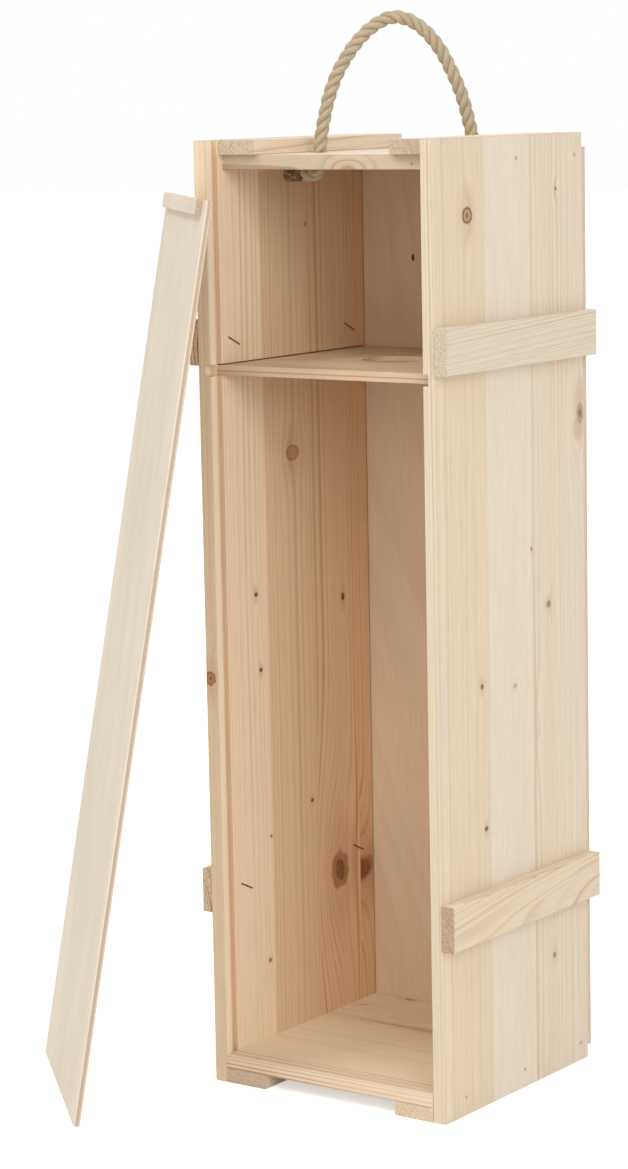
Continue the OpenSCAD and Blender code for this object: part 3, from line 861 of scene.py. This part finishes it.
def plywood(node_name, order, thickness_from, layers, face, figure_colour, cross_ply, figure, seed,
            leaning=False, lower=(1, 1, 1), glue=0.4, mark=None, end=None, slant=0.0):
    """Thin plywood: veneer on its faces, and layers through its thickness, whose middle ply shows
    on the edges as a darker band. Lengths are in millimetres. thickness_from is the place of the
    lower face, layers are the two glue lines' distances from it, and glue is how dark they are.
    face, figure_colour and cross_ply are colours, and figure how strongly the contours show.
    leaning turns the grain with the lid. lower is the tint of the ply below the glue lines, mark
    the place and radius of a small dark flaw, end the colour of the ends of the grain, and slant
    how far the clouds lean over their run along the grain."""
    material, tree, surface = new_material(node_name + "_ply")
    where = object_space(tree)
    if leaning:
        where = add(tree, "ShaderNodeMapping", {
            "Vector": where, "Location": lid_foot(), "Rotation": (LID_LEAN, 0, math.pi - LID_TURN)},
            vector_type="TEXTURE").outputs[0]
    parts = split(tree, where)
    board = combine(tree, {i: parts[axis] for i, axis in enumerate(order)})
    depth = minus(tree, parts[order[1]], thickness_from * MM)
    out = use(tree, VENEER, {"Vector": board, "Seed": seed, "Figure": figure, "Slant": slant})
    colour = blend(tree, out["Contour"], face, figure_colour)
    colour = tinted(tree, colour, ramp(tree, out["Tone"], 0.3, 0.7, 1.035, 0.95))
    colour = tinted(tree, colour, ramp(tree, out["Fibre"], 0.35, 0.75, 1.025, 0.95))
    pore = ramp(tree, out["Pore"], 0.70, 0.80, 0.0, 0.25)
    colour = blend(tree, pore, colour, figure_colour)
    first, second = layers
    under = ramp(tree, depth, (first + 0.1) * MM, (first - 0.1) * MM)
    colour = blend(tree, under, colour, tinted(tree, colour, (*lower, 1)))
    if mark:
        flaw = use(tree, KNOT, {"Vector": board, "Centre": (mark[0] * MM, 0, mark[1] * MM),
                                "Radius": mark[2] * MM, "Length": 1.9, "Heart": 0.8})
        colour = blend(tree, mul(tree, flaw["Dark"], 0.95), colour, FLAW)
    inner = mul(tree, ramp(tree, depth, (first - 0.1) * MM, (first + 0.1) * MM),
                ramp(tree, depth, (second + 0.1) * MM, (second - 0.1) * MM))
    speckle = blend(tree, ramp(tree, noise(tree, where, 1900, 2), 0.4, 0.65), cross_ply,
                    tinted(tree, cross_ply, CROSS_PORES))
    colour = blend(tree, inner, colour, speckle)
    for line in layers:
        near = calc(tree, "ABSOLUTE", minus(tree, depth, line * MM))
        line_share = ramp(tree, near, 0.22 * MM, 0.06 * MM, 0.0, glue)
        colour = blend(tree, line_share, colour, PLY_GLUE)
    if end:
        grain = (-math.cos(LID_TURN), math.sin(LID_TURN), 0)
        cut = mul(tree, use(tree, END, {"Grain": grain})["End"], 0.9)
        pores = ramp(tree, noise(tree, where, 1500, 2), 0.42, 0.62, 1.12, 0.70)
        colour = blend(tree, cut, colour, tinted(tree, end, pores))
    finish(tree, surface, colour, calc(tree, "MULTIPLY_ADD", out["Fibre"], 0.2, 0.5),
           out["Fibre"], 0.06, 0.3 * MM, SHINE)
    dress(node_name, material)


def dress_plywood():
    """Back panel, neck shelf, lid and the grip strip on the lid."""
    plywood("back_panel", ("X", "Y", "Z"), 83.5, (0.5, 3.5), rgb(230, 215, 192), rgb(208, 178, 144),
            rgb(220, 202, 184), figure=0.15, seed=1.0, lower=(0.98, 0.89, 0.81), glue=0.12,
            mark=(-39.5, 511, 1.3), slant=0.25)
    plywood("neck_shelf", ("Y", "Z", "X"), 447, (2.3, 3.0), rgb(216, 192, 161), rgb(198, 162, 124),
            rgb(192, 160, 128), figure=0.35, seed=2.0, lower=(0.99, 0.95, 0.94), glue=0.25)
    # the lid's lower tint is painted shade: it darkens the inner ply, on the lid's edge and inner
    # face
    plywood("lid_panel", ("X", "Y", "Z"), 0, (1.1, 2.9), rgb(228, 216, 198), rgb(216, 200, 174),
            rgb(198, 178, 158), figure=0.16, seed=3.0, leaning=True, lower=(0.93, 0.90, 0.87),
            glue=0.2)
    plywood("lid_grip", ("Z", "Y", "X"), -50, (0.0, 0.1), rgb(232, 218, 200), rgb(216, 198, 170),
            rgb(210, 190, 160), figure=0.25, seed=5.0, leaning=True, end=rgb(190, 170, 150))


# -------- rope, twine, steel
def rope_material():
    """Natural fibre: yarns, with painted shade in the grooves between them, and fine fibres from
    the strand's own UV (metres along, turns round), and two kinds of cloudy tone."""
    material, tree, surface = new_material("rope_fibre")
    uv = add(tree, "ShaderNodeUVMap", uv_map="along").outputs[0]
    parts = split(tree, uv)
    turn = plus(tree, parts[1], calc(tree, "DIVIDE", parts[0], YARN_PITCH))
    yarn_crest = calc(tree, "ABSOLUTE", calc(tree, "COSINE", mul(tree, turn, math.pi * YARNS)))
    where = object_space(tree)
    fibres_at = combine(tree, {"X": mul(tree, turn, 60.0), "Y": mul(tree, parts[0], 260.0)})
    fibre = noise(tree, fibres_at, 1.0, 3, 0.65)
    cloud = noise(tree, where, 160, 2)
    blush = noise(tree, vec(tree, "ADD", where, (0.3, 0.1, 0.2)), 110, 2)
    colour = blend(tree, ramp(tree, fibre, 0.3, 0.7), rgb(164, 151, 124), rgb(201, 190, 164))
    for share, tone in ((ramp(tree, cloud, 0.35, 0.7, 0.0, 0.6), rgb(176, 159, 128)),
                        (ramp(tree, blush, 0.45, 0.65, 0.0, 0.5), rgb(196, 163, 134)),
                        # painted shade: darker in the grooves between the yarns
                        (ramp(tree, yarn_crest, 0.38, 0.0, 0.0, 0.35), rgb(116, 98, 70))):
        colour = blend(tree, share, colour, tone)
    height = plus(tree, mul(tree, fibre, 0.7), mul(tree, yarn_crest, 0.6))
    finish(tree, surface, colour, 0.85, height, 0.12, 0.3 * MM,
           {"Sheen Weight": 0.15, "Specular IOR Level": 0.2})
    return material


def twine_material():
    """Dark tape or twine wound round the rope's ends."""
    material, tree, surface = new_material("dark_twine")
    where = object_space(tree)
    fine = noise(tree, vec(tree, "MULTIPLY", where, (2, 1, 1)), 700, 3, 0.6)
    patch = ramp(tree, noise(tree, where, 420, 2), 0.48, 0.62)
    colour = blend(tree, fine, rgb(66, 50, 36), rgb(120, 98, 76))
    colour = blend(tree, mul(tree, patch, 0.6), colour, rgb(168, 150, 122))
    finish(tree, surface, colour, 0.7, fine, 0.4, 0.3 * MM)
    return material


def steel_material(name, dark, light, metallic):
    """Dull wire: a little darker in spots."""
    material, tree, surface = new_material(name)
    where = object_space(tree)
    fine = noise(tree, where, 2600, 3, 0.6)
    cloud = noise(tree, where, 500, 2)
    colour = blend(tree, fine, dark, light)
    colour = blend(tree, ramp(tree, cloud, 0.5, 0.7, 0.0, 0.5), colour, rgb(96, 80, 64))
    finish(tree, surface, colour, calc(tree, "MULTIPLY_ADD", fine, 0.3, 0.35),
           more={"Metallic": metallic})
    return material


def dress_steel():
    """Staples in the battens and nails in the boards."""
    dress("batten_staples", steel_material(
        "staple_wire", rgb(118, 98, 76), rgb(158, 134, 106), 0.5))
    dress("board_nails", steel_material(
        "nail_head", rgb(184, 156, 126), rgb(208, 182, 152), 0.15))


# -------- stage and light
WHITE = (1, 1, 1, 1)
FLOOR_WHITE = (0.90, 0.885, 0.87, 1)
FLOOR_REACH = 14.0
FLOOR_GLOW = 0.50                    # keeps the floor white round the shadow
WORLD_LEVEL = 0.61                   # what lights the box; the camera sees 1
LAMP_COLOUR = (1.0, 0.985, 0.96)
LAMP_AIM = (0, 0, 0.3)
LAMPS = (("key", (2.5, -2.2, 1.9), 2.2, 46.0), ("fill", (-0.9, -1.7, 3.0), 0.6, 24.0),
         ("front", (0.6, -1.8, 2.6), 0.8, 11.5), ("back", (-0.8, 2.8, 1.6), 2.0, 14.0))


def seen(tree):
    """1 for rays that show a surface itself: from the camera, mirrored or through glass."""
    path = add(tree, "ShaderNodeLightPath").outputs
    return calc(tree, "MAXIMUM", path["Is Camera Ray"],
                calc(tree, "MAXIMUM", path["Is Glossy Ray"], path["Is Transmission Ray"]))


def make_stage():
    """Pale floor that keeps the shadow, a white surround and four soft lamps (name, place, size,
    power)."""
    r = FLOOR_REACH
    floor = bpy.data.meshes.new("floor")
    floor.from_pydata([(-r, -r, 0), (r, -r, 0), (r, r, 0), (-r, r, 0)], [], [(0, 1, 2, 3)])
    ground = bpy.data.objects.new("floor", floor)
    bpy.context.scene.collection.objects.link(ground)
    material, tree, surface = new_material("floor_white")
    finish(tree, surface, FLOOR_WHITE, 0.9)
    glow = add(tree, "ShaderNodeEmission", {"Color": WHITE,
                                            "Strength": mul(tree, seen(tree), FLOOR_GLOW)})
    both = add(tree, "ShaderNodeAddShader", {0: surface.outputs[0], 1: glow.outputs[0]})
    feed(tree, tree.nodes["Material Output"], {"Surface": both.outputs[0]})
    floor.materials.append(material)

    world = bpy.data.worlds.new("surround")
    bpy.context.scene.world = world
    world.use_nodes = True
    tree = world.node_tree
    strength = calc(tree, "MULTIPLY_ADD", seen(tree), 1.0 - WORLD_LEVEL, WORLD_LEVEL)
    feed(tree, tree.nodes["Background"], {"Color": WHITE, "Strength": strength})

    for name, place, size, power in LAMPS:
        lamp = bpy.data.lights.new(name, "AREA")
        lamp.energy, lamp.size, lamp.color = power, size, LAMP_COLOUR
        back = np.array(place) - np.array(LAMP_AIM)
        back /= np.linalg.norm(back)
        side = np.cross((0, 0, 1), back)
        side /= np.linalg.norm(side)
        place_item(bpy.data.objects.new(name, lamp), side, np.cross(back, side), back, place)


# -------- build
make_camera()
make_rope()
dress_timber()
dress_plywood()
dress_steel()
make_stage()

bpy.context.scene.view_settings.view_transform = "Standard"
